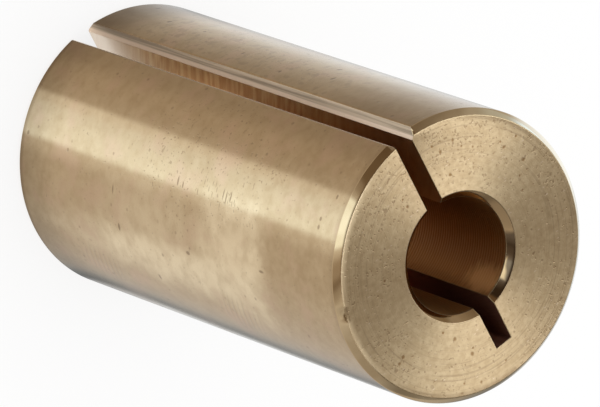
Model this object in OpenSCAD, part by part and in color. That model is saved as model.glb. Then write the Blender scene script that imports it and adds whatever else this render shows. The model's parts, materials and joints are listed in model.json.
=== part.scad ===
// Split shaft adapter sleeve: a turned bronze sleeve that seats a small shaft in a larger hub.
// It stands on one end, with its axis along +Z and the open side of its saw cut facing -Y.

/* [Sleeve] */
// Outside diameter, which fits the hub
outer_d = 15.875; // [13:0.005:20]
// Length from end face to end face
sleeve_l = 31; // [16:0.5:60]
// Leg of the 45 degree chamfer round both outer edges
outer_chamfer = 0.35; // [0.1:0.05:0.8]

/* [Bore] */
// Bore diameter, which fits the shaft
bore_d = 6.35; // [4:0.05:8]
// Leg of the 45 degree chamfer at both mouths of the bore
bore_chamfer = 0.38; // [0.1:0.02:0.6]

/* [Saw cut] */
// Width of the saw cut
cut_w = 1.05; // [0.6:0.05:1.6]
// Wall left uncut behind the closed end of the saw cut, where the sleeve flexes
hinge_wall = 2.15; // [0.8:0.05:3]

/* [Filed edges] */
// Depth filed off the slit's left outer edge, at the upper end
file_depth_top = 0.34; // [0.1:0.01:0.5]
// Depth filed off the same edge, at the lower end
file_depth_base = 0.29; // [0.1:0.01:0.5]
// Slope of that flat off the slit's wall, in degrees
file_slope = 40; // [30:1:75]
// Leg of the 45 degree chamfer along the slit's right outer edge
slit_chamfer = 0.25; // [0.05:0.05:0.4]

/* [Rim nick] */
// Length of the nick along the rim of the upper end
nick_l = 0.9; // [0.4:0.1:2]
// Depth of the nick below the end face
nick_depth = 0.12; // [0.05:0.01:0.3]
// Reach of the nick across the end face, in from the chamfer
nick_reach = 0.3; // [0.1:0.05:1]
// Way round the rim from the slit to the nick, in degrees
nick_bearing = 77; // [20:1:160]

/* [Hidden] */
$fn = 128;
bronze = [0.69, 0.56, 0.40];

outer_r = outer_d / 2;
bore_r = bore_d / 2;
rim_r = outer_r - outer_chamfer;      // outer edge of the end faces
mouth_r = bore_r + bore_chamfer;      // inner edge of the end faces
cut_end_y = outer_r - hinge_wall;     // closed end of the saw cut
clear = 1;                            // how far a cutter runs past the metal it cuts

// The filed flat starts from the slit's sharp outer edge on the -X side.
slit_edge = [-cut_w / 2, -sqrt(pow(outer_r, 2) - pow(cut_w / 2, 2))];
file_lean = atan((file_depth_top - file_depth_base) / sleeve_l);

// The nick is pressed by a round edge that lies across the rim and dips outwards.
nick_r = (pow(nick_l / 2, 2) + pow(nick_depth, 2)) / (2 * nick_depth);
nick_dip = atan(nick_depth / nick_reach);

// One side of the wall in section, with its four chamfers
wall_section = [
    [mouth_r, 0],
    [rim_r, 0],
    [outer_r, outer_chamfer],
    [outer_r, sleeve_l - outer_chamfer],
    [rim_r, sleeve_l],
    [mouth_r, sleeve_l],
    [bore_r, sleeve_l - bore_chamfer],
    [bore_r, bore_chamfer],
];

// The sleeve as it leaves the lathe
module turned_blank() {
    rotate_extrude() polygon(wall_section);
}

// One pass of the saw: through the wall on the -Y side, across the bore, and part way into the far wall
module saw_cut() {
    translate([-cut_w / 2, -outer_r - clear, -clear])
        cube([cut_w, outer_r + clear + cut_end_y, sleeve_l + 2 * clear]);
}

// The flat that a file leaves along one edge of the slit, deeper towards the upper end
module filed_edge() {
    intersection() {
        translate([-outer_r, -outer_r - clear, -clear])
            cube([outer_r, outer_r + clear, sleeve_l + 2 * clear]);
        translate(slit_edge)
            rotate([0, 0, -file_slope])
                translate([-file_depth_base, -outer_r, 0])
                    rotate([0, -file_lean, 0])
                        translate([0, 0, -2 * clear])
                            cube([outer_r, 2 * outer_r, sleeve_l + 4 * clear]);
    }
}

// The chamfer along the other edge of the slit
module chamfered_edge() {
    translate([-slit_edge.x, slit_edge.y, sleeve_l / 2])
        rotate([0, 0, 45])
            cube([sqrt(2) * slit_chamfer, sqrt(2) * slit_chamfer, sleeve_l + 2 * clear], center = true);
}

// A knock on the rim of the upper end
module rim_nick() {
    rotate([0, 0, nick_bearing - 90])
        translate([rim_r - nick_reach, 0, sleeve_l])
            rotate([0, 90 + nick_dip, 0])
                translate([-nick_r, 0, 0])
                    cylinder(h = nick_reach + outer_chamfer + clear, r = nick_r);
}

module split_sleeve() {
    color(bronze)
        difference() {
            turned_blank();
            saw_cut();
            filed_edge();
            chamfered_edge();
            rim_nick();
        }
}

split_sleeve();
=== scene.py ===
# %% [markdown]
# # A split shaft adapter sleeve
# The real thing is one bar of bronze, turned on a lathe, bored through and then sawn along one side,
# so that a hub can squeeze it shut on a thin shaft. This lesson loads the sleeve's solid as a fixed
# frame, models a finer skin for it, gives each machined surface its own finish, and lights it as a
# catalogue photograph is lit.

import json
import math

import bmesh
import bpy
from mathutils import Matrix, Vector


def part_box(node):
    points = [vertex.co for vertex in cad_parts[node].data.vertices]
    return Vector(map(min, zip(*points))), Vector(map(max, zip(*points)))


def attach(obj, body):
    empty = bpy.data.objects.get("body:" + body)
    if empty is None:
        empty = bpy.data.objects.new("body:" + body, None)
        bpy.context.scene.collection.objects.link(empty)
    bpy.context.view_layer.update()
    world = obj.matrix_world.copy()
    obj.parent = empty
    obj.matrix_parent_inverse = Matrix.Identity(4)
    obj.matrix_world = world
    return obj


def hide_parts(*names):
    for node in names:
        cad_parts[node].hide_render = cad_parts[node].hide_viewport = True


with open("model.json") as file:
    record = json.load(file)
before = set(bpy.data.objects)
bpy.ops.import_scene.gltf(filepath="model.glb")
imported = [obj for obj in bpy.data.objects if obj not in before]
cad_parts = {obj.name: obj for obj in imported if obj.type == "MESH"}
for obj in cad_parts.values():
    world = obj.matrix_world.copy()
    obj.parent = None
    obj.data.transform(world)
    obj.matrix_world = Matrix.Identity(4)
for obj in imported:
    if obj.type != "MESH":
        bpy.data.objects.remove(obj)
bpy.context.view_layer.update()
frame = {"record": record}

# %% [markdown]
# ## Measuring the sleeve
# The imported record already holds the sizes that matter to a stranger: the bore's radius, the outside
# radius and how long each wall runs between its chamfers. Reading them here, and not typing them again,
# keeps the skin true to the solid. The saw cut, the filed edge and the nick mate with nothing, so the
# record is silent about them and their sizes are written down. Everything is in millimetres until the
# mesh is done, because Blender's bevels work better on sizes near 1 than on sizes near 0.001.

# %% Read the driving sizes
MM = 0.001                      # one millimetre in Blender's metres
CUT_WIDTH = 1.05                # the saw cut
HINGE_WALL = 2.15               # the wall left behind the cut's closed end, where the sleeve flexes
low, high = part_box("split_sleeve")
mounts = {mount["name"]: mount["dims"] for mount in frame["record"]["mounts"]}

LENGTH = (high.z - low.z) / MM
OUTER_R = mounts["hub_seat"]["r_mm"]
BORE_R = mounts["shaft_bore"]["r_mm"]
OUTER_CHAMFER = (LENGTH - mounts["hub_seat"]["length_mm"]) / 2
BORE_CHAMFER = (LENGTH - mounts["shaft_bore"]["length_mm"]) / 2
CUT_HALF = CUT_WIDTH / 2
CUT_END = OUTER_R - HINGE_WALL
print(f"length {LENGTH:.2f}, outside radius {OUTER_R:.4f}, bore radius {BORE_R:.4f} mm")
print(f"chamfers {OUTER_CHAMFER:.2f} outside and {BORE_CHAMFER:.2f} in the bore")

# %% [markdown]
# ## The camera
# The photograph was taken with a long lens, from above the upper end and a little to the right of the
# slit. The sleeve lay on its side for it. Here it stands on its end, as it would on a bench, so the
# camera keeps the same line of sight and is rolled instead. A camera can be placed by hand, but an
# azimuth, an elevation and a roll say in plain numbers where it is, and a matrix built from them is
# exact.

# %% Place the camera
AZIMUTH = math.radians(37.42)
ELEVATION = math.radians(53.45)
ROLL = math.radians(109.28)
DISTANCE = 472.9 * MM
AIM = Vector((-0.063, 0.292, 15.70)) * MM
LENS = 526.8                    # in millimetres, as is the width of the sensor behind it
SENSOR = 36
NEAR_CLIP = 10 * MM

towards_camera = Vector((
    math.sin(AZIMUTH) * math.cos(ELEVATION),
    -math.cos(AZIMUTH) * math.cos(ELEVATION),
    math.sin(ELEVATION),
))
camera_data = bpy.data.cameras.new("camera")
camera_data.lens = LENS
camera_data.sensor_width = SENSOR
camera_data.clip_start = NEAR_CLIP
camera = bpy.data.objects.new("camera", camera_data)
bpy.context.scene.collection.objects.link(camera)
level = towards_camera.to_track_quat("Z", "Y").to_matrix().to_4x4()
camera.matrix_world = (
    Matrix.Translation(AIM + towards_camera * DISTANCE) @ level @ Matrix.Rotation(ROLL, 4, "Z")
)
bpy.context.scene.camera = camera
print("camera at", [round(value, 4) for value in camera.location])

# %% [markdown]
# ## The sleeve's outline
# Seen from its end, the sleeve is a ring with one straight saw cut across it. The cut's walls are
# parallel, so they can't be part of a spun shape. Drawing the end view and pushing it along the axis
# gives true flat walls at once. Only the left half is drawn, because the right half is its mirror image:
# spinning one vertex draws each arc, and a few edges join the arcs.

# %% Draw half of the end view
ARC_STEPS = 180                 # steps in each half turn, so one step is about a degree


def spun_arc(form, start, sweep):
    """Spins the vertex start round the axis by sweep radians and returns the vertex at the far end."""
    spun = bmesh.ops.spin(
        form, geom=[start], cent=(0, 0, 0), axis=(0, 0, 1), angle=sweep, steps=ARC_STEPS,
    )
    return next(item for item in spun["geom_last"] if isinstance(item, bmesh.types.BMVert))


outer_gap = math.asin(CUT_HALF / OUTER_R)   # half the angle that the cut takes from the outside
bore_gap = math.asin(CUT_HALF / BORE_R)     # and from the bore

skin = bmesh.new()
hinge_outside = skin.verts.new((0, OUTER_R, 0))
slit_outside = spun_arc(skin, hinge_outside, math.pi - outer_gap)
slit_inside = skin.verts.new((-CUT_HALF, -BORE_R * math.cos(bore_gap), 0))
slot_mouth = spun_arc(skin, slit_inside, 2 * bore_gap - math.pi)
slot_corner = skin.verts.new((-CUT_HALF, CUT_END, 0))
slot_middle = skin.verts.new((0, CUT_END, 0))
skin.edges.new([slit_outside, slit_inside])
skin.edges.new([slot_mouth, slot_corner])
skin.edges.new([slot_corner, slot_middle])
skin.edges.new([slot_middle, hinge_outside])
bmesh.ops.contextual_create(skin, geom=skin.edges[:])
print("half outline:", len(skin.verts), "points,", len(skin.faces), "face")

# %% [markdown]
# ## From the outline to a blank
# A bar already has its length; a drawing has to be given one. Extruding the face lifts a copy of it and
# builds the walls between. The wall on the mirror plane would end up inside the metal, so it is deleted
# before the half is mirrored, and points that meet on the plane are merged into one.

# %% Push the outline along the axis and mirror it
ON_PLANE = 1e-6                 # how close to the mirror plane counts as on it
SAME_POINT = 1e-4               # points closer than this are one point

pushed = bmesh.ops.extrude_face_region(skin, geom=skin.faces[:])
raised = [item for item in pushed["geom"] if isinstance(item, bmesh.types.BMVert)]
bmesh.ops.translate(skin, verts=raised, vec=(0, 0, LENGTH))
middle_wall = [face for face in skin.faces if all(abs(vert.co.x) < ON_PLANE for vert in face.verts)]
bmesh.ops.delete(skin, geom=middle_wall, context="FACES_ONLY")
whole = skin.verts[:] + skin.edges[:] + skin.faces[:]
bmesh.ops.mirror(skin, geom=whole, axis="X", merge_dist=SAME_POINT)
bmesh.ops.remove_doubles(skin, verts=skin.verts[:], dist=SAME_POINT)
bmesh.ops.recalc_face_normals(skin, faces=skin.faces[:])
print("whole blank:", len(skin.verts), "points,", len(skin.faces), "faces")

# %% [markdown]
# ## Chamfers
# A lathe hand touches every turned edge with a tool held at 45 degrees, so that nobody is cut and the
# sleeve starts easily into its hub. A bevel with one segment is exactly that cut. The rims are found by
# their radius and height, which is safer than counting edges.

# %% Chamfer the outer rims and the mouths of the bore
ON_RIM = 1e-3                   # how close to a rim's radius counts as on it


def rim_edges(form, radius):
    """The short edges of one radius that lie in the plane of either end face."""
    found = []
    for edge in form.edges:
        at_an_end = all(min(vert.co.z, LENGTH - vert.co.z) < SAME_POINT for vert in edge.verts)
        on_the_rim = all(abs(vert.co.to_2d().length - radius) < ON_RIM for vert in edge.verts)
        if at_an_end and on_the_rim and edge.calc_length() < CUT_HALF:
            found.append(edge)
    return found


def cut_back(form, edges, offset, segments):
    """Bevels edges by the same offset on both of their faces."""
    bmesh.ops.bevel(
        form, geom=edges, offset=offset, offset_type="OFFSET", affect="EDGES",
        segments=segments, profile=0.5, material=-1, clamp_overlap=False,
    )


for radius, leg in [(OUTER_R, OUTER_CHAMFER), (BORE_R, BORE_CHAMFER)]:
    edges = rim_edges(skin, radius)
    cut_back(skin, edges, leg, 1)
    print(f"chamfered {len(edges)} edges at radius {radius:.3f}")

# %% [markdown]
# ## The filed edges
# A saw leaves a burr along both edges of the slit. On this sleeve the right edge got a small chamfer, and
# the left one was filed harder, with the file held a little skew, so its flat is wider at the upper end.
# A plane cuts the mesh just as the file cut the metal, and each hole is closed with one flat face. Only
# one half is cut at a time, because the plane goes on for ever.

# %% File both edges of the slit
FILE_DEPTH_TOP = 0.34
FILE_DEPTH_BASE = 0.29
FILE_SLOPE = math.radians(40)   # between the flat and the wall of the slit
SLIT_CHAMFER = 0.25
CUT_SLACK = 1e-5                # points this close to a cutting plane are taken as on it


def cut_faces(form, faces, point, normal, take_away):
    """Cuts the given faces along a plane, and takes away what lies beyond it if asked to."""
    edges = {edge for face in faces for edge in face.edges}
    verts = {vert for face in faces for vert in face.verts}
    bmesh.ops.bisect_plane(
        form, geom=faces + list(edges) + list(verts), dist=CUT_SLACK,
        plane_co=point, plane_no=normal, clear_outer=take_away,
    )


def file_edge(form, side, point, normal):
    """Files away all of one half that lies beyond a plane; side is -1 for the left half, 1 for the right."""
    half = [face for face in form.faces if all(vert.co.x * side > -ON_PLANE for vert in face.verts)]
    cut_faces(form, half, point, normal, True)
    hole = [edge for edge in form.edges if edge.is_boundary]
    bmesh.ops.contextual_create(form, geom=hole)
    bmesh.ops.recalc_face_normals(form, faces=form.faces[:])
    return len(hole)


left_edge = Vector((-CUT_HALF, -OUTER_R * math.cos(outer_gap), 0))
right_edge = Vector((CUT_HALF, -OUTER_R * math.cos(outer_gap), 0))
level_normal = Vector((math.cos(FILE_SLOPE), -math.sin(FILE_SLOPE), 0))
lean = (FILE_DEPTH_TOP - FILE_DEPTH_BASE) / LENGTH
file_normal = (level_normal + Vector((0, 0, lean))).normalized()
chamfer_normal = Vector((-1, -1, 0)).normalized()
left_sides = file_edge(skin, -1, left_edge - level_normal * FILE_DEPTH_BASE, file_normal)
right_sides = file_edge(skin, 1, right_edge + Vector((SLIT_CHAMFER, 0, 0)), chamfer_normal)
print("flats with", left_sides, "and", right_sides, "sides; open edges left:",
      sum(edge.is_boundary for edge in skin.edges))

# %% [markdown]
# ## Broken edges
# No real edge is perfectly sharp. Deburring leaves each one with a tiny round that catches the light as
# a thin bright line, and that line is much of what makes metal look like metal. Every outward edge gets
# one here, a few hundredths of a millimetre wide, apart from the edges of the filed flats, which the file
# left crisp.

# %% Break every outward edge
BREAK = 0.035
SHARP = math.radians(20)        # faces that meet at more than this make an edge worth breaking
SAME_WAY = 0.995                # two directions whose product is above this count as one


def is_filed(face):
    """Whether a face is one of the two filed flats along the slit."""
    centre = face.calc_center_median()
    flat_normal = file_normal if centre.x < 0 else chamfer_normal
    return centre.y < -BORE_R and face.normal.dot(flat_normal) > SAME_WAY


sharp_edges = [
    edge for edge in skin.edges
    if edge.is_manifold and edge.is_convex and edge.calc_face_angle() > SHARP
    and not any(is_filed(face) for face in edge.link_faces)
]
cut_back(skin, sharp_edges, BREAK, 2)
bmesh.ops.recalc_face_normals(skin, faces=skin.faces[:])
print("broke", len(sharp_edges), "edges")

# %% [markdown]
# ## A nick
# The rim took a knock once. A blow pushes metal down, so the points of a small patch at the rim are
# pushed down too, most in the middle of the nick. The patch is first cut free of the big end face, which
# stays flat.

# %% Knock a nick into the upper rim
NICK_TURN = 77                          # degrees round the rim from the slit
NICK_HALF = 0.45                        # half its length along the rim
NICK_REACH = 0.3                        # how far it reaches across the end face
NICK_DEPTH = 0.12
NICK_FLOOR = LENGTH - OUTER_CHAMFER * 0.8   # points below this were too far down to be pushed
rim_r = OUTER_R - OUTER_CHAMFER
nick_angle = math.radians(NICK_TURN - 90)   # the same way round, measured from +X
outward = Vector((math.cos(nick_angle), math.sin(nick_angle), 0))
along = Vector((-outward.y, outward.x, 0))


def score(form, point, normal):
    """Cuts the upper right end face along a line, without taking anything away."""
    faces = [face for face in form.faces if face.normal.z > 0.99 and face.calc_center_median().x > 0]
    cut_faces(form, faces, point, normal, False)


score(skin, outward * (rim_r - NICK_REACH), outward)
score(skin, along * NICK_HALF, along)
score(skin, along * -NICK_HALF, along)
pressed = 0
for vert in skin.verts:
    off = vert.co.dot(along) / NICK_HALF
    inward = min((vert.co.dot(outward) - rim_r + NICK_REACH) / NICK_REACH, 1)
    if vert.co.z > NICK_FLOOR and abs(off) < 1 and inward > 0:
        vert.co.z -= NICK_DEPTH * inward * (1 - off * off)
        pressed += 1
bent = [face for face in skin.faces if 0.5 < face.normal.z < 0.999 and len(face.verts) > 4]
bmesh.ops.triangulate(skin, faces=bent)
print("nick pressed with", pressed, "points")

# %% [markdown]
# ## One finish for each cut
# Each tool leaves its own mark: the turning tool, the facing tool, the boring bar, the saw and the file.
# So each kind of surface gets a material of its own, and a face's position and direction are enough to
# tell which tool made it.

# %% Sort the faces by the tool that made them
FINISHES = [
    "turned_outside", "faced_end", "chamfer", "countersunk", "broken", "bored", "sawn", "blind_slot", "filed",
]
SLOPE_SLACK = 0.05              # how far a chamfer's normal may be off 45 degrees
NEAR_WALL = 0.02                # how far off a round wall's radius a face still belongs to it
ROUND_WALL = 0.98               # how squarely its faces look away from the axis, or towards it
FLAT_WALL = 0.99                # how squarely a sawn face looks along +X, -X or -Y


def finish_of(face):
    """The name of the finish that this face of the skin should have."""
    centre = face.calc_center_median()
    normal = face.normal
    radius = centre.to_2d().length
    facing = (centre.x * normal.x + centre.y * normal.y) / radius
    in_the_nick = centre.dot(outward) > rim_r - NICK_REACH and abs(centre.dot(along)) < NICK_HALF
    if is_filed(face):
        return "filed"
    if in_the_nick and normal.z > 0.76:
        return "faced_end" if radius < rim_r else "chamfer"
    if abs(normal.z) > SAME_WAY:
        return "faced_end"
    if abs(abs(normal.z) - math.sqrt(0.5)) < SLOPE_SLACK:
        return "chamfer" if facing > 0 else "countersunk"
    if radius > OUTER_R - NEAR_WALL and facing > ROUND_WALL:
        return "turned_outside"
    if radius < BORE_R + NEAR_WALL and facing < -ROUND_WALL:
        return "bored"
    if abs(normal.x) > FLAT_WALL or normal.y < -FLAT_WALL:
        return "sawn" if centre.y < 0 else "blind_slot"
    return "chamfer" if radius > rim_r + 0.1 and facing > 0.3 else "broken"


tally = dict.fromkeys(FINISHES, 0)
for face in skin.faces:
    finish = finish_of(face)
    face.material_index = FINISHES.index(finish)
    face.smooth = True
    tally[finish] += 1
print("faces by finish:", tally)

# %% [markdown]
# ## From a loose mesh to an object
# Blender renders objects, so the mesh is scaled from millimetres to metres, named, and tied to the solid
# that it stands for. Plain smooth shading would bend the light across the big flat faces. The faces could
# be split apart to stop that, but weighted normals keep the skin whole: at each corner the largest face
# decides, so flats look flat and only the broken edges look round.

# %% Make the skin an object in the solid's frame
bmesh.ops.scale(skin, verts=skin.verts[:], vec=(MM, MM, MM))
mesh = bpy.data.meshes.new("bronze_sleeve")
skin.to_mesh(mesh)
skin.free()
sleeve = bpy.data.objects.new("bronze_sleeve", mesh)
bpy.context.scene.collection.objects.link(sleeve)
weighted = sleeve.modifiers.new("even_normals", "WEIGHTED_NORMAL")
weighted.weight = 100
weighted.keep_sharp = True
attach(sleeve, "root")
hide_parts("split_sleeve")
print("sleeve skin:", len(mesh.vertices), "points,", len(mesh.polygons), "faces")

# %% [markdown]
# ## Bronze
# Bronze is a metal, so nearly all of its colour is in its mirror reflection: a warm tan that turns
# paler towards grazing angles. One function makes that metal, and each finish then adds its own marks to
# the colour, the roughness and the tiny relief. Small helpers keep the node wiring short enough to read.

# %% Helpers for shader nodes
def add(tree, kind, sockets, **settings):
    """Adds one shader node, sets its options and fills or links its sockets."""
    made = tree.nodes.new("ShaderNode" + kind)
    for name, value in settings.items():
        setattr(made, name, value)
    for name, value in sockets.items():
        if isinstance(value, bpy.types.NodeSocket):
            tree.links.new(value, made.inputs[name])
        else:
            made.inputs[name].default_value = value
    return made


def maths(tree, operation, *values):
    """One sum on numbers or sockets."""
    return add(tree, "Math", dict(enumerate(values)), operation=operation).outputs[0]


def product(tree, first, *others):
    """Several numbers or sockets multiplied together."""
    for other in others:
        first = maths(tree, "MULTIPLY", first, other)
    return first


def highest(tree, first, *others):
    """The largest of several numbers or sockets."""
    for other in others:
        first = maths(tree, "MAXIMUM", first, other)
    return first


def spread(tree, value, start, end, low_out=0.0, high_out=1.0):
    """Maps the range from start to end smoothly on to another, and holds the ends."""
    sockets = {"Value": value, "From Min": start, "From Max": end, "To Min": low_out, "To Max": high_out}
    return add(tree, "MapRange", sockets, interpolation_type="SMOOTHSTEP").outputs[0]


def blend(tree, factor, first, second):
    """Mixes two colours."""
    return add(tree, "Mix", {0: factor, 6: first, 7: second}, data_type="RGBA").outputs[2]


print("node helpers ready")

# %% Start a bronze material
BRONZE = (0.52, 0.38, 0.217, 1)


def length_of(tree, u, v):
    """The length of an arrow that goes u one way and v the other."""
    squares = maths(tree, "ADD", maths(tree, "MULTIPLY", u, u), maths(tree, "MULTIPLY", v, v))
    return maths(tree, "SQRT", squares)


def bronze(name, roughness, anisotropy):
    """A bronze whose shine is drawn out across the tool marks; returns its tree, shader and places."""
    material = bpy.data.materials.new(name)
    material.use_nodes = True
    tree = material.node_tree
    shader = tree.nodes["Principled BSDF"]
    shader.inputs["Base Color"].default_value = BRONZE
    shader.inputs["Metallic"].default_value = 1.0
    shader.inputs["Roughness"].default_value = roughness
    shader.inputs["Anisotropic"].default_value = anisotropy
    coords = add(tree, "TexCoord", {})
    in_mm = add(tree, "VectorMath", {0: coords.outputs["Object"], "Scale": 1 / MM}, operation="SCALE")
    x, y, z = add(tree, "SeparateXYZ", {0: in_mm.outputs[0]}).outputs
    if anisotropy:
        around = add(tree, "CombineXYZ", {0: maths(tree, "MULTIPLY", y, -1.0), 1: x}).outputs[0]
        normal = add(tree, "NewGeometry", {}).outputs["Normal"]
        across = add(tree, "VectorMath", {0: normal, 1: around}, operation="CROSS_PRODUCT")
        tree.links.new(across.outputs[0], shader.inputs["Tangent"])
    mesh.materials.append(material)
    return tree, shader, (x, y, z, length_of(tree, x, y))


def paint(tree, shader, colour):
    """Gives the metal its colour."""
    tree.links.new(colour, shader.inputs["Base Color"])


def relief(tree, shader, height, micrometres):
    """Raises the surface by the height, which runs from 0 to 1, times the given depth."""
    bump = add(tree, "Bump", {"Height": height, "Distance": micrometres * 1e-6, "Strength": 1.0})
    tree.links.new(bump.outputs[0], shader.inputs["Normal"])


print("bronze base colour", BRONZE[:3])

# %% [markdown]
# ## Marks on the metal
# Wear and dirt could be painted on a picture that is wrapped round the sleeve. A picture has a seam and
# a fixed sharpness, though, and it says nothing about size. Here each mark is worked out from the place
# of the point itself: noise for what is even all over, spots for pits, and ovals for what lies in one
# place. So their places and sizes are millimetres on the metal.

# %% Helpers for marks
OVAL_EDGE = 1.4                 # where an oval ends, as a share of its half size plus the noise there


def stretched(tree, places, stretch):
    """Coordinates in millimetres, each multiplied by its own stretch, as one vector."""
    scaled = [maths(tree, "MULTIPLY", place, amount) for place, amount in zip(places, stretch)]
    return add(tree, "CombineXYZ", dict(enumerate(scaled))).outputs[0]


def grain(tree, places, stretch, detail=2.0):
    """Noise, finest along the coordinate with the largest stretch."""
    sockets = {"Vector": stretched(tree, places, stretch), "Scale": 1.0, "Detail": detail}
    return add(tree, "TexNoise", sockets).outputs[0]


def specks(tree, places, stretch, radius):
    """Round spots about a random point in each cell: 1 inside a spot, 0 outside."""
    sockets = {"Vector": stretched(tree, places, stretch), "Scale": 1.0, "Randomness": 1.0}
    cells = add(tree, "TexVoronoi", sockets)
    return spread(tree, cells.outputs["Distance"], radius, radius * 0.5)


def oval(tree, across, along, middle, half_size, fray, soft=0.2):
    """An oval on the surface: 1 in its middle, 0 outside, with its soft border frayed by a noise."""
    u = maths(tree, "DIVIDE", maths(tree, "SUBTRACT", across, middle[0]), half_size[0])
    v = maths(tree, "DIVIDE", maths(tree, "SUBTRACT", along, middle[1]), half_size[1])
    frayed = maths(tree, "ADD", length_of(tree, u, v), fray)
    return spread(tree, frayed, OVAL_EDGE + soft, OVAL_EDGE - soft)


def bearing_of(tree, x, y):
    """The way round the axis from the slit in radians, positive to the right of it."""
    return maths(tree, "ARCTAN2", x, maths(tree, "MULTIPLY", y, -1.0))


print("mark helpers ready")

# %% [markdown]
# ## The turned outside: paler patches and tarnish
# The outside was turned to size. It has a few paler patches, and it goes brown at the ends and left of the
# slit, darkest right by both ends. These are changes of colour with no depth, so they are blended into the
# base colour, first the unevenness of the bronze, then the tarnish and the darker ends, and the paler
# patches last.

# %% The turned outside: where it is paler
# Each patch: its middle as millimetres round from the slit and up, half its size, and its strength
PALE_PATCHES = [
    ((9.9, 21.2), (3.0, 4.2), 1.0),
    ((11.1, 15.5), (1.5, 9.5), 1.0),
    ((9.8, 13.0), (2.6, 5.0), 0.45),
]
tree, shader, (x, y, z, r) = bronze("turned_outside", 0.15, 0.4)
arc = product(tree, bearing_of(tree, x, y), OUTER_R)    # millimetres round the outside from the slit
cloud = grain(tree, (x, y, z), (0.5, 0.5, 0.5), 4.0)
patches = grain(tree, (x, y, z), (0.9, 0.9, 1.1), 5.0)
# Where the outside is paler than the rest
paler = highest(tree, *[
    product(tree, oval(tree, arc, z, middle, half_size, cloud, 0.6), strength)
    for middle, half_size, strength in PALE_PATCHES
])
wavy_height = maths(tree, "MULTIPLY_ADD", cloud, 2.0, z)
below_the_rim = spread(tree, wavy_height, 26.2, 23.8)
broken_up = spread(tree, patches, 0.30, 0.62, 0.6, 1.0)
paler = product(tree, paler, below_the_rim, broken_up)
print(len(PALE_PATCHES), "rubbed patches")

# %% The turned outside: where it is tarnished and where it is darker by its ends, and its colours
DULL = (0.47, 0.335, 0.185, 1)
BRIGHT = (0.57, 0.425, 0.25, 1)
ROSY = (0.58, 0.40, 0.255, 1)
PALE_PATCH = (0.86, 0.70, 0.46, 1)
TARNISH_AND_SHADE = (0.18, 0.11, 0.055, 1)
mottle = grain(tree, (x, y, z), (2.2, 2.2, 2.2), 5.0)
left_of_slit = spread(tree, arc, 0.5, -0.5, 0.2, 1.0)
far_right = spread(tree, arc, 9.5, 12.5, 0.0, 0.4)
lower_end = spread(tree, z, 5.0, 1.0)
upper_end = product(tree, spread(tree, z, 21.0, 27.0), 0.6)
smudges = product(tree, spread(tree, mottle, 0.50, 0.66), 0.6)
tarnish_and_dark_ends = highest(tree, lower_end, upper_end, smudges)
tarnish_and_dark_ends = product(tree, tarnish_and_dark_ends, highest(tree, left_of_slit, far_right))
# Darker right by the foot and just under the rim
by_the_table = spread(tree, z, 0.9, 0.4)
by_the_rim = spread(tree, z, LENGTH - OUTER_CHAMFER - 0.6, LENGTH - OUTER_CHAMFER)
tarnish_and_dark_ends = highest(tree, tarnish_and_dark_ends, by_the_table, product(tree, by_the_rim, 0.5))
uneven = product(tree, maths(tree, "ADD", mottle, patches), 0.5)
colour = blend(tree, spread(tree, uneven, 0.28, 0.72), DULL, BRIGHT)
colour = blend(tree, spread(tree, cloud, 0.48, 0.68, 0.0, 0.6), colour, ROSY)
colour = blend(tree, product(tree, tarnish_and_dark_ends, 0.5), colour, TARNISH_AND_SHADE)
colour = blend(tree, paler, colour, PALE_PATCH)
print("turned outside coloured with", len(tree.nodes), "nodes")

# %% [markdown]
# ## The turned outside: pits and dents
# Bronze has small holes that the tool opens, and a loose sleeve gets dented in its drawer. Modelling each
# mark would take thousands of faces for things a tenth of a millimetre wide. So the fine pits are the
# lowest parts of a noise, with everything above them cut off, and only the dents that the eye looks for
# are placed one by one.

# %% The turned outside: fine pits, thickest in one patch
pitted = oval(tree, arc, z, (4.6, 18.0), (4.2, 7.0), cloud)
hammered = oval(tree, arc, z, (6.3, 19.0), (0.8, 2.6), cloud)
pores = grain(tree, (x, y, z), (5.0, 5.0, 5.6), 1.0)
deep_pores = spread(tree, pores, 0.31, 0.22)
more_pores = product(tree, spread(tree, pores, 0.38, 0.27), pitted)
dashes = product(tree, specks(tree, (x, y, z), (1.3, 1.3, 5.0), 0.28), hammered)
dots = product(tree, specks(tree, (x, y, z), (0.9, 0.9, 0.9), 0.12), spread(tree, cloud, 0.42, 0.55))
pits = highest(tree, deep_pores, more_pores, dashes, dots)
colour = blend(tree, product(tree, pits, 0.38), colour, TARNISH_AND_SHADE)
print("fine pits added,", len(tree.nodes), "nodes")

# %% The turned outside: a few single dents, each with its bearing, height, half width and half length
DENTS = [
    (47.2, 0.9, 0.14, 0.12), (45.4, 15.7, 0.30, 0.07), (46.4, 16.2, 0.22, 0.06), (44.6, 20.0, 0.35, 0.06),
    (45.6, 20.3, 0.40, 0.06), (45.0, 20.7, 0.30, 0.06), (72.8, 16.8, 0.12, 0.20), (90.3, 12.8, 0.20, 0.10),
    (72.4, 10.1, 0.22, 0.09), (57.5, 9.7, 0.30, 0.06), (41.2, 28.9, 0.12, 0.10), (44.4, 28.9, 0.12, 0.10),
    (31.2, 29.6, 0.14, 0.09), (69.3, 23.9, 0.10, 0.24), (-22.9, 4.6, 0.16, 0.14), (-31.6, 1.6, 0.20, 0.12),
    (-24.1, 7.8, 0.11, 0.10), (-26.9, 10.7, 0.12, 0.10), (-17.5, 12.9, 0.12, 0.10), (-20.4, 20.9, 0.20, 0.10),
    (-29.3, 19.7, 0.16, 0.12), (-13.5, 17.2, 0.12, 0.10),
]
for turn, up, half_width, half_length in DENTS:
    middle = (math.radians(turn) * OUTER_R, up)
    dent = oval(tree, arc, z, middle, (half_width, half_length), mottle, 0.35)
    pits = highest(tree, pits, dent)
    colour = blend(tree, product(tree, dent, 0.6), colour, TARNISH_AND_SHADE)
print(len(DENTS), "dents")
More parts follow.
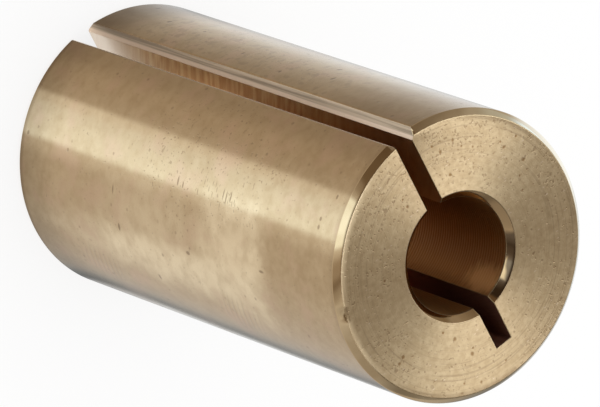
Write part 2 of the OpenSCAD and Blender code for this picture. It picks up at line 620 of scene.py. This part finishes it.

# %% [markdown]
# ## The turned outside: tool lines
# A turning tool leaves a fine thread of lines round the work. Noise drawn out round the sleeve gives lines
# of uneven depth, as a worn tool does. In two places the work shook against the tool and kept slanted
# ripples, which machinists call chatter. All of it is a few thousandths of a millimetre deep, so a bump
# does it and the outline stays straight. The chatter also gets painted shade in its colour, along its slant.

# %% The turned outside: the lines of the turning tool, and two places where it chattered
CHATTER_PITCH = 0.45
CHATTER_ARC = 13.2              # how far round from the slit both places are
CHATTER_HEIGHTS = (6.5, 20.0)   # and how far up
lines = grain(tree, (x, y, z), (0.3, 0.3, 6.0), 3.0)
slanted = maths(tree, "MULTIPLY_ADD", arc, 0.4, z)
ripples = maths(tree, "SINE", product(tree, slanted, 2 * math.pi / CHATTER_PITCH))
chatter = highest(tree, *[
    oval(tree, arc, z, (CHATTER_ARC, up), (1.2, 2.0), cloud, 0.4) for up in CHATTER_HEIGHTS
])
# Painted shade: the chatter ripples are darkened in colour along their slant
chatter_shade = product(tree, spread(tree, ripples, 0.0, 1.0, 0.0, 0.16), chatter)
paint(tree, shader, blend(tree, chatter_shade, colour, TARNISH_AND_SHADE))
polish = spread(tree, cloud, 0.3, 0.7, 0.12, 0.17)
patch_amount = product(tree, highest(tree, pits, paler), 0.08)
tree.links.new(maths(tree, "ADD", polish, patch_amount), shader.inputs["Roughness"])
lines_and_pits = maths(tree, "SUBTRACT", lines, pits)
height = maths(tree, "MULTIPLY_ADD", product(tree, ripples, chatter), 0.6, lines_and_pits)
relief(tree, shader, height, 3)
print("turned outside done with", len(tree.nodes), "nodes")

# %% [markdown]
# ## The faced end
# The facing tool crosses the end while the work spins, so its marks are fine rings, and the light on them
# is drawn out into a fan with its point at the bore. Thousands of real grooves would do that. The shader's
# anisotropy does it without any: it smears each reflection across the rings. The pits are the same
# holes in the metal as on the outside, and are thickest by the slit.

# %% The faced end: rings from the facing tool, and pits in the metal
tree, shader, (x, y, z, r) = bronze("faced_end", 0.555, 0.73)
rings = grain(tree, (x, y, r), (0.25, 0.25, 11.0), 2.0)
mottle = grain(tree, (x, y, z), (3.5, 3.5, 3.5), 5.0)
by_the_slit = spread(tree, y, -2.5, -5.5)
cloud = spread(tree, grain(tree, (x, y, z), (0.35, 0.35, 0.35), 3.0), 0.42, 0.62)
pit_zone = highest(tree, by_the_slit, cloud)
pores = grain(tree, (x, y, z), (6.5, 6.5, 6.5), 1.0)
clustered = maths(tree, "MULTIPLY_ADD", maths(tree, "ADD", pit_zone, mottle), -0.08, pores)
fine_pits = spread(tree, clustered, 0.29, 0.20)
chosen = spread(tree, maths(tree, "MULTIPLY_ADD", pit_zone, 0.06, mottle), 0.52, 0.64)
small_pits = product(tree, specks(tree, (x, y, z), (3.2, 3.2, 3.2), 0.30), chosen)
fewer = spread(tree, mottle, 0.48, 0.56)
large_pits = product(tree, specks(tree, (x, y, z), (1.3, 1.3, 1.3), 0.22), fewer, pit_zone)
pits = highest(tree, fine_pits, small_pits, large_pits)
print("faced end marked with", len(tree.nodes), "nodes")

# %% The faced end: its colours, with a few pale scratches
PALE = (0.68, 0.53, 0.38, 1)
PIT_BROWN = (0.22, 0.13, 0.06, 1)
scratches = specks(tree, (x, y, z), (1.2, 3.6, 1.2), 0.13)
ring_zone = spread(tree, r, 4.6, 6.6, 0.3, 1.0)
rim_lines = product(tree, spread(tree, rings, 0.48, 0.32), ring_zone)
colour = blend(tree, spread(tree, mottle, 0.25, 0.75), DULL, BRIGHT)
colour = blend(tree, product(tree, rim_lines, 0.28), colour, TARNISH_AND_SHADE)
colour = blend(tree, product(tree, pits, 0.5), colour, PIT_BROWN)
colour = blend(tree, product(tree, scratches, 0.6), colour, PALE)
print("faced end coloured with", len(tree.nodes), "nodes")

# %% The faced end: single deeper pits in the upper end, each with its bearing, radius and half width
DEEP_PIT = (0.22, 0.115, 0.04, 1)
FACE_PITS = [
    (-69, 6.2, 0.13), (-16, 6.0, 0.10), (-20, 4.6, 0.10), (-55, 6.2, 0.10), (-24, 6.4, 0.09),
    (18, 4.7, 0.10), (-52, 6.4, 0.07), (-29, 6.0, 0.07), (-36, 5.9, 0.07), (-12, 6.5, 0.07),
    (-73, 5.4, 0.07), (-59, 7.0, 0.07), (-81, 5.0, 0.07), (17, 5.2, 0.06), (159, 5.4, 0.12),
    (146, 4.4, 0.12), (114, 6.1, 0.10), (114, 6.5, 0.10), (162, 7.1, 0.09), (177, 6.7, 0.07),
    (153, 6.9, 0.07), (68, 4.9, 0.07), (135, 4.1, 0.07), (160, 5.1, 0.07),
]
on_upper_end = spread(tree, z, 15.0, 16.0)
share = product(tree, on_upper_end, 0.75)
for turn, out, half_width in FACE_PITS:
    middle = (out * math.sin(math.radians(turn)), -out * math.cos(math.radians(turn)))
    pit = oval(tree, x, y, middle, (half_width, half_width), mottle, 0.5)
    pits = highest(tree, pits, product(tree, pit, on_upper_end))
    colour = blend(tree, product(tree, pit, share), colour, DEEP_PIT)
print(len(FACE_PITS), "deeper pits")

# %% [markdown]
# ## The faced end: its rim
# A band along the rim gets a painted highlight on one side and painted shade on the others, standing in
# for the light on a slightly rolled edge. A bearing round the axis and a distance from it are all that such
# a band needs, and the test for the highlit side is a function, because the broken edge next to it gets
# the same painted highlight.

# %% The faced end: its rim, with a painted highlight on one side and painted shade on the others
RIM_HIGHLIGHT = (0.86, 0.67, 0.42, 1)
RIM_BAND = 0.38                 # width of the band, in from the chamfer


def rim_highlight_mask(tree, bearing):
    """1 where the rim gets a painted highlight, which is to the right of the slit but not in the nick."""
    paler = product(tree, spread(tree, bearing, 0.25, 0.7), spread(tree, bearing, 2.0, 1.6))
    from_nick = maths(tree, "ABSOLUTE", maths(tree, "SUBTRACT", bearing, math.radians(NICK_TURN)))
    return product(tree, paler, spread(tree, from_nick, 0.045, 0.07))


bearing = bearing_of(tree, x, y)
rim_band = spread(tree, r, rim_r - RIM_BAND, rim_r)
left_part = product(tree, spread(tree, bearing, -0.35, -0.7), spread(tree, bearing, -1.4, -1.0))
rim_shade = highest(tree, spread(tree, bearing, 1.95, 2.3), left_part)
# Painted highlight on one side of the rim band and painted shade on the others, for the light on a rolled
# edge
colour = blend(tree, product(tree, rim_highlight_mask(tree, bearing), rim_band), colour, RIM_HIGHLIGHT)
colour = blend(tree, product(tree, rim_shade, rim_band, 0.45), colour, TARNISH_AND_SHADE)
paint(tree, shader, colour)
relief(tree, shader, maths(tree, "SUBTRACT", rings, pits), 4)
print("faced end done with", len(tree.nodes), "nodes")

# %% [markdown]
# ## The outer chamfers
# One touch of a sharp tool makes a chamfer, so it is smoother than the faces beside it and mirrors the
# room clearly. That could be left plain, but one stretch of the upper chamfer on the far left is blended
# to a pale metal, a painted highlight.

# %% The outer chamfers: smooth, with a painted highlight on the far left
PALE_HIGHLIGHT = (0.95, 0.86, 0.70, 1)
tree, shader, (x, y, z, r) = bronze("chamfer", 0.09, 0.0)
rings = grain(tree, (x, y, maths(tree, "ADD", r, z)), (0.6, 0.6, 12.0), 2.0)
colour = blend(tree, spread(tree, rings, 0.3, 0.7), DULL, BRIGHT)
bearing = bearing_of(tree, x, y)
far_left = product(tree, spread(tree, bearing, -0.88, -1.1), spread(tree, bearing, -2.7, -2.4))
# Painted highlight: the upper chamfer on the far left is blended to a pale metal
patch_amount = product(tree, far_left, spread(tree, z, 20.0, 25.0))
paint(tree, shader, blend(tree, patch_amount, colour, PALE_HIGHLIGHT))
relief(tree, shader, rings, 1)
print("outer chamfers done with", len(tree.nodes), "nodes")

# %% [markdown]
# ## The mouths of the bore
# The countersinks at both ends of the bore are cut like the chamfers, but oil and dirt stay in them. Dark
# patches of painted shade, standing in for dark reflections, lie in a few places round the mouth. Ovals on
# the bearing and the radius put them there, and the noise that frays their borders keeps them from looking
# stamped.

# %% The mouths of the bore: the same cut, with painted shade in a few places round the mouth
DARK_SHADE = (0.065, 0.045, 0.03, 1)
OILY = (0.46, 0.305, 0.155, 1)
BROWN_SHADE = (0.21, 0.105, 0.035, 1)
tree, shader, (x, y, z, r) = bronze("countersunk", 0.12, 0.0)
rings = grain(tree, (x, y, maths(tree, "SUBTRACT", r, z)), (0.6, 0.6, 12.0), 2.0)
patchy = grain(tree, (x, y, z), (0.8, 0.8, 0.8), 2.0)
arc = product(tree, bearing_of(tree, x, y), BORE_R)     # millimetres round the bore from the slit
right = oval(tree, arc, r, (-6.4, BORE_R), (0.8, 2.0), patchy)
by_the_slot = oval(tree, arc, r, (-8.7, BORE_R), (0.6, 2.0), patchy)
outer_half = oval(tree, arc, r, (-7.4, BORE_R + BORE_CHAMFER), (1.5, 0.34), patchy)
upper_right = oval(tree, arc, r, (-4.4, BORE_R), (1.5, 2.0), patchy)
below = oval(tree, arc, r, (6.4, BORE_R), (1.7, 2.0), patchy, 0.4)
# Painted shade: dark patches round the mouth stand in for dark reflections
mouth_shade = highest(tree, right, by_the_slot, outer_half, product(tree, upper_right, 0.25))
colour = blend(tree, product(tree, mouth_shade, 0.85), OILY, DARK_SHADE)
paint(tree, shader, blend(tree, below, colour, BROWN_SHADE))
relief(tree, shader, rings, 2)
print("mouths of the bore done with", len(tree.nodes), "nodes")

# %% [markdown]
# ## The finish of the broken edges
# A few strokes of a fine file break an edge, and leave it rough and dull. A bright line all the way round
# would look drawn on, so only the part next to the rim's painted highlight gets a painted highlight too,
# and the edges near the bore are darkest. The tiny rounds themselves are already in the mesh.

# %% The broken edges: dull from the file, with a painted highlight only where the rim has one
DULL_EDGE = (0.31, 0.22, 0.12, 1)
PALER_EDGE = (0.42, 0.31, 0.18, 1)
tree, shader, (x, y, z, r) = bronze("broken", 0.5, 0.0)
nicks = grain(tree, (x, y, z), (3.0, 3.0, 3.0), 2.0)
at_the_rim = spread(tree, r, rim_r - 0.2, rim_r - 0.1)
# Painted highlight on the broken edge, next to the rim's painted highlight
edge_highlight = product(tree, rim_highlight_mask(tree, bearing_of(tree, x, y)), at_the_rim)
colour = blend(tree, nicks, DULL_EDGE, PALER_EDGE)
colour = blend(tree, spread(tree, r, 5.0, 4.5, 0.0, 0.3), colour, TARNISH_AND_SHADE)
paint(tree, shader, blend(tree, edge_highlight, colour, RIM_HIGHLIGHT))
relief(tree, shader, nicks, 6)
print("broken edges done with", len(tree.nodes), "nodes")

# %% [markdown]
# ## The bore
# A boring bar moves a fifth of a millimetre for each turn of the work and leaves one ridge each time. A
# sine of the height draws them all at once, as colour and as relief, and needs no screw thread in the
# mesh. Oil has darkened the bore to a reddish brown, and a key or a shaft has scuffed it bright in one
# place by the upper end.

# %% The bore: even ridges, one for each turn of the work past the boring bar
RIDGE_PITCH = 0.21
OILED = (0.42, 0.215, 0.065, 1)
OILED_RIDGE = (0.52, 0.29, 0.11, 1)
SCUFFED = (0.80, 0.50, 0.22, 1)
tree, shader, (x, y, z, r) = bronze("bored", 0.42, 0.0)
wander = grain(tree, (x, y, z), (0.5, 0.5, 2.0), 2.0)
ridges = maths(tree, "SINE", product(tree, z, 2 * math.pi / RIDGE_PITCH))
ridges = maths(tree, "MULTIPLY_ADD", ridges, 0.5, 0.5)
arc = product(tree, bearing_of(tree, x, y), BORE_R)
scuffs = grain(tree, (x, y, z), (1.2, 1.2, 7.0), 3.0)
scuffed = oval(tree, arc, z, (-8.6, 29.5), (0.9, 1.5), scuffs, 0.35)
colour = blend(tree, ridges, OILED, OILED_RIDGE)
paint(tree, shader, blend(tree, scuffed, colour, SCUFFED))
relief(tree, shader, maths(tree, "ADD", ridges, wander), 8)
print("bore done with", len(tree.nodes), "nodes")

# %% [markdown]
# ## The sawn walls
# A slitting saw is a thin disc with teeth. As it moves along the sleeve, each tooth scratches an arc into
# the wall, and the arcs are as round as the disc. Subtracting the disc's own curve from the height bends
# a noise of level lines into such arcs. The blind end of the cut has the same marks, and is darker, redder
# and rougher. Both walls get painted light, greyer towards the lower end, and painted shade, darker towards
# the upper end.

# %% The sawn walls: arcs left by the teeth of a slitting saw that moved along the sleeve
SAW_R = 30.0
PAINTED_GREY = (0.54, 0.46, 0.38, 1)
# Each wall: its roughness, then its colours in the scratches and between them, and its painted shade by the
# upper end
SAWN_WALLS = {
    "sawn": (0.30, (0.72, 0.49, 0.27, 1), (0.95, 0.79, 0.54, 1), (0.62, 0.38, 0.19, 1)),
    "blind_slot": (0.6, (0.62, 0.28, 0.19, 1), (0.75, 0.37, 0.24, 1), (0.12, 0.05, 0.03, 1)),
}


def saw_arcs(tree, x, y, z):
    """Noise drawn out along the arcs that the saw's rim sweeps over a wall of the cut."""
    up_blade = maths(tree, "SUBTRACT", y, CUT_END - SAW_R)
    drop = maths(tree, "SUBTRACT", SAW_R * SAW_R, maths(tree, "MULTIPLY", up_blade, up_blade))
    swept = maths(tree, "SUBTRACT", z, maths(tree, "SQRT", drop))
    return grain(tree, (x, y, swept), (0.3, 0.3, 2.6), 5.0)


for name, (roughness, low_colour, high_colour, shade_colour) in SAWN_WALLS.items():
    tree, shader, (x, y, z, r) = bronze(name, roughness, 0.0)
    arcs = saw_arcs(tree, x, y, z)
    # Painted light and shade: greyer towards the lower end, darker towards the upper end
    grey_light = spread(tree, z, 6.5, 2.5)
    end_shade = spread(tree, maths(tree, "MULTIPLY_ADD", arcs, 4.0, z), 22.5, 29.0)
    colour = blend(tree, spread(tree, arcs, 0.35, 0.65), low_colour, high_colour)
    colour = blend(tree, product(tree, grey_light, 0.9), colour, PAINTED_GREY)
    colour = blend(tree, product(tree, end_shade, 0.8), colour, shade_colour)
    paint(tree, shader, colour)
    relief(tree, shader, arcs, 5)
    print(name, "done with", len(tree.nodes), "nodes")

# %% [markdown]
# ## The filed flats
# A file pushed along the edge leaves straight strokes the length of the sleeve. Noise that is fine across
# the flat and hardly changes along it looks like such strokes. The strip next to the slit is paler.

# %% The filed flats: straight strokes, coarse by the outside and paler by the slit
SCORED = (0.34, 0.26, 0.18, 1)
PALER_SCORED = (0.53, 0.41, 0.29, 1)
PALE_FLAT = (0.72, 0.56, 0.42, 1)
PALE_WIDTH = 0.15             # the bright part, measured across from the wall of the slit
tree, shader, (x, y, z, r) = bronze("filed", 0.55, 0.0)
strokes = grain(tree, (x, y, z), (11.0, 0.5, 0.1), 2.0)
from_wall = maths(tree, "SUBTRACT", maths(tree, "ABSOLUTE", x), CUT_HALF)
# The strip next to the slit is paler
coarse = spread(tree, from_wall, PALE_WIDTH - 0.03, PALE_WIDTH + 0.03)
scored = blend(tree, spread(tree, strokes, 0.42, 0.58), SCORED, PALER_SCORED)
paint(tree, shader, blend(tree, coarse, PALE_FLAT, scored))
relief(tree, shader, strokes, 3)
print("finishes:", [material.name for material in mesh.materials])

# %% [markdown]
# ## The studio: a pale floor and a pale room
# Polished metal shows the room more than itself, so a photographer builds the room, starting with a pale
# sweep of paper to stand the piece on. Plain white paper would still go grey wherever light is short. So
# the floor is mostly a white glow to the rays that see it, and the rest is paper that takes the sleeve's
# shadow.

# %% A pale floor and a pale room
WHITE = (1, 1, 1, 1)
PAPER = (0.92, 0.92, 0.92, 1)
WHITENESS = 0.8                 # how much of the seen floor is plain white, over its shaded paper
FLOOR_HALF = 2                  # half the floor's width, in metres


def staged(name, form, material):
    """Makes a stage object, which isn't part of the sleeve, from a bmesh."""
    stage_mesh = bpy.data.meshes.new(name)
    form.to_mesh(stage_mesh)
    form.free()
    stage_mesh.materials.append(material)
    made = bpy.data.objects.new(name, stage_mesh)
    bpy.context.scene.collection.objects.link(made)
    return made


paper = bpy.data.materials.new("paper")
paper.use_nodes = True
tree = paper.node_tree
paper_shader = tree.nodes["Principled BSDF"]
paper_shader.inputs["Base Color"].default_value = PAPER
paper_shader.inputs["Roughness"].default_value = 1.0
paper_shader.inputs["Specular IOR Level"].default_value = 0.0
rays = add(tree, "LightPath", {}).outputs
seen = highest(tree, rays["Is Camera Ray"], rays["Is Glossy Ray"], rays["Is Transmission Ray"])
white = add(tree, "Emission", {"Color": WHITE, "Strength": 1.0})
whiter = product(tree, seen, WHITENESS)
sheet = add(tree, "MixShader", {0: whiter, 1: paper_shader.outputs[0], 2: white.outputs[0]})
tree.links.new(sheet.outputs[0], tree.nodes["Material Output"].inputs["Surface"])
floor_form = bmesh.new()
bmesh.ops.create_grid(floor_form, x_segments=1, y_segments=1, size=FLOOR_HALF)
floor = staged("floor", floor_form, paper)

world = bpy.data.worlds.new("room")
bpy.context.scene.world = world
world.use_nodes = True
world.node_tree.nodes["Background"].inputs["Color"].default_value = WHITE
world.node_tree.nodes["Background"].inputs["Strength"].default_value = 1.0
print("stage:", floor.name, "and", world.name)

# %% [markdown]
# ## The studio: shaded cards
# White and dark cards stand where the metal mirrors them, and give a round wall its bands of light and
# shade. Many small cards could be hung one by one. Two large ones are simpler: a disc on the floor and a
# dome over everything, each shaded by the bearing from the camera. Only reflections see them, as if they
# were kept just out of the frame.

# %% The shades of the cards, each with its bearing from the camera, brightness and warmth
FLOOR_SHADES = [
    (-180, 0.80, -0.3), (-168, 1.04, -0.3), (-155, 1.02, -0.3), (-135, 0.80, -0.1), (-115, 0.54, 0.3),
    (-95, 0.41, 0.7), (-59, 0.40, 1.1), (-35, 0.54, 0.9), (-19, 0.63, 0.6), (-13, 1.2, -0.2),
    (-3, 1.44, -0.6), (5, 1.60, -0.7), (18, 1.74, -0.8), (24, 1.0, 0), (37, 0.75, 0.3), (61, 0.73, 0.3),
    (85, 0.78, 0.1), (109, 0.77, 0.1), (125, 0.76, 0.1), (141, 0.67, 0), (150, 0.58, -0.2),
    (158, 0.42, -0.5), (166, 0.31, -0.5), (173, 0.46, -0.4), (180, 0.80, -0.3),
]
WALL_SHADES = [
    (-180, 0.5, 0), (-142, 1.1, -1), (-130, 0.98, -1), (-119, 0.84, -0.8), (-108, 0.58, 0),
    (-96, 0.43, 0.5), (-83, 0.32, 0.8), (-72, 0.23, 1.5), (-49, 0.15, 2.5), (-28, 0.16, 2.5), (-21, 0.40, 1),
    (-14, 0.74, 0.2), (-11, 1.95, -1), (4, 2.05, -1), (19, 2.25, -1.1), (23, 1.0, 0),
    (32, 0.48, 1), (39, 0.45, 1), (45, 0.27, 1.5), (51, 0.53, 0.5), (60, 0.80, 0),
    (80, 0.65, 0), (106, 0.59, 0), (120, 0.36, 0), (150, 0.5, 0), (180, 0.5, 0),
]
TOP_SHADE = (0.152, 2.3)        # brightness and warmth overhead
GLOW = 3.0                      # strength of the cards; a shade is divided by it to stay below 1


def tinted(shade, warmth):
    """One shade of a card, warm where warmth is above 0 and cool where it is below."""
    light = (shade * (1 + 0.14 * warmth), shade, shade * (1 - 0.13 * warmth), 1)
    return [level / GLOW for level in light]


print(len(FLOOR_SHADES), "shades round the floor and", len(WALL_SHADES), "round the wall")

# %% Helpers for the cards
CARD_R = 400                    # millimetres
camera_side = AZIMUTH - math.pi / 2     # the camera's bearing, measured from +X


def card_tree(name, shades):
    """A glowing card with a ramp of shades; returns material, tree, bearing, away, z, ramp and glow."""
    material = bpy.data.materials.new(name)
    material.use_nodes = True
    tree = material.node_tree
    tree.nodes.remove(tree.nodes["Principled BSDF"])
    coords = add(tree, "TexCoord", {})
    turned = add(
        tree, "VectorRotate", {0: coords.outputs["Object"], "Axis": (0, 0, 1), "Angle": -camera_side},
        rotation_type="AXIS_ANGLE",
    )
    x, y, z = add(tree, "SeparateXYZ", {0: turned.outputs[0]}).outputs
    bearing = maths(tree, "ARCTAN2", y, x)
    ramp = add(tree, "ValToRGB", {})
    ramp.color_ramp.interpolation = "EASE"
    stops = ramp.color_ramp.elements
    while len(stops) < len(shades):
        stops.new(0.5)
    for stop, (degrees, shade, warmth) in zip(stops, shades):
        stop.position = degrees / 360 + 0.5
        stop.color = tinted(shade, warmth)
    glow = add(tree, "Emission", {"Strength": GLOW})
    tree.links.new(glow.outputs[0], tree.nodes["Material Output"].inputs["Surface"])
    return material, tree, bearing, length_of(tree, x, y), z, ramp, glow


def shade_by(tree, ramp, bearing):
    """Reads the ramp once round, from -180 to 180 degrees."""
    turns = maths(tree, "ADD", maths(tree, "DIVIDE", bearing, 2 * math.pi), 0.5)
    tree.links.new(turns, ramp.inputs[0])


def reflection_only(thing):
    """Hides a card from everything but mirror-like rays."""
    thing.visible_camera = False
    thing.visible_diffuse = False
    thing.visible_shadow = False
    thing.visible_transmission = False
    thing.visible_volume_scatter = False


print("cards face the camera's side,", round(math.degrees(camera_side), 2), "degrees from +X")

# %% The floor card
UNDER_SLEEVE = (0.57, 0.57, 0.57, 1)
NEAR_GLOW = 2.1                 # strength by the sleeve's foot, where little light gets in
FULL_GLOW_R = 11                # millimetres from the axis at which the card has its full strength
CARD_LIFT = 0.05                # millimetres above the paper
material, tree, bearing, away, z, ramp, glow = card_tree("floor_card", FLOOR_SHADES)
# A round wall mirrors a near point of the floor at a wider bearing than a far one
nearness = maths(tree, "DIVIDE", OUTER_R * MM / 2, away)
shade_by(tree, ramp, maths(tree, "DIVIDE", bearing, maths(tree, "SUBTRACT", 1.0, nearness)))
under = maths(tree, "LESS_THAN", away, OUTER_R * MM)
tree.links.new(blend(tree, under, ramp.outputs[0], UNDER_SLEEVE), glow.inputs["Color"])
strength = spread(tree, away, OUTER_R * MM, FULL_GLOW_R * MM, NEAR_GLOW, GLOW)
tree.links.new(strength, glow.inputs["Strength"])
disc_form = bmesh.new()
bmesh.ops.create_circle(disc_form, cap_ends=True, segments=96, radius=CARD_R * MM)
bmesh.ops.translate(disc_form, verts=disc_form.verts[:], vec=(0, 0, CARD_LIFT * MM))
floor_card = staged("floor_card", disc_form, material)
reflection_only(floor_card)
print("floor card, radius", CARD_R, "mm")

# %% The wall card, with its dark top
TOP_START = math.radians(44)    # the rise above the floor at which the wall starts to darken
TOP_FULL = math.radians(52)     # and at which it is all dark
material, tree, bearing, away, z, ramp, glow = card_tree("wall_card", WALL_SHADES)
shade_by(tree, ramp, bearing)
top = spread(tree, maths(tree, "ARCTAN2", z, away), TOP_START, TOP_FULL)
tree.links.new(blend(tree, top, ramp.outputs[0], tinted(*TOP_SHADE)), glow.inputs["Color"])
dome_form = bmesh.new()
bmesh.ops.create_uvsphere(dome_form, u_segments=96, v_segments=48, radius=CARD_R * MM)
dome_card = staged("wall_card", dome_form, material)
reflection_only(dome_card)
print("wall card, radius", CARD_R, "mm")

# %% [markdown]
# ## The studio: softboxes
# A softbox is a lamp behind a white sheet. The key softbox makes the two bright fans on the faced end,
# so it lights only what mirrors it. The one overhead does the opposite: it lights the paper and is kept
# out of the metal. An area lamp's power depends on its size, so each lamp's brightness is given as a
# mirror would show it, and the power is worked out from that.

# %% Softboxes
LAMP_DISTANCE = 300             # millimetres from the upper end
COOL_LIGHT = (0.93, 1.02, 1.13)
PLAIN_LIGHT = (1, 1, 1)


def softbox(name, bearing, elevation, roll, width, height, radiance, colour):
    """A lamp that faces the upper end; the angles are in degrees and its size is in metres."""
    lamp = bpy.data.lights.new(name, "AREA")
    lamp.color = colour
    lamp.shape = "RECTANGLE"
    lamp.size = width
    lamp.size_y = height
    lamp.energy = radiance * math.pi * width * height
    made = bpy.data.objects.new(name, lamp)
    bpy.context.scene.collection.objects.link(made)
    angle = camera_side + math.radians(bearing)
    rise = math.radians(elevation)
    away = Vector((math.cos(angle) * math.cos(rise), math.sin(angle) * math.cos(rise), math.sin(rise)))
    turn = away.to_track_quat("Z", "Y").to_matrix().to_4x4() @ Matrix.Rotation(math.radians(roll), 4, "Z")
    made.matrix_world = Matrix.Translation(Vector((0, 0, LENGTH * MM)) + away * LAMP_DISTANCE * MM) @ turn
    made.visible_camera = False
    return made


key = softbox(
    "key_softbox", bearing=-115, elevation=58, roll=47, width=0.33, height=0.13, radiance=7.4,
    colour=COOL_LIGHT,
)
key.visible_diffuse = False
fill = softbox(
    "overhead_softbox", bearing=0, elevation=90, roll=0, width=0.6, height=0.6, radiance=0.25,
    colour=PLAIN_LIGHT,
)
fill.visible_glossy = False
print("softboxes of", round(key.data.energy, 3), "and", round(fill.data.energy, 3), "watts")

# %% [markdown]
# ## The view transform
# A photograph's white paper is plain white. Blender's usual view transform would soften it to grey, so
# the Standard one is chosen, which shows each value as it is.

# %% Set the view
bpy.context.scene.view_settings.view_transform = "Standard"
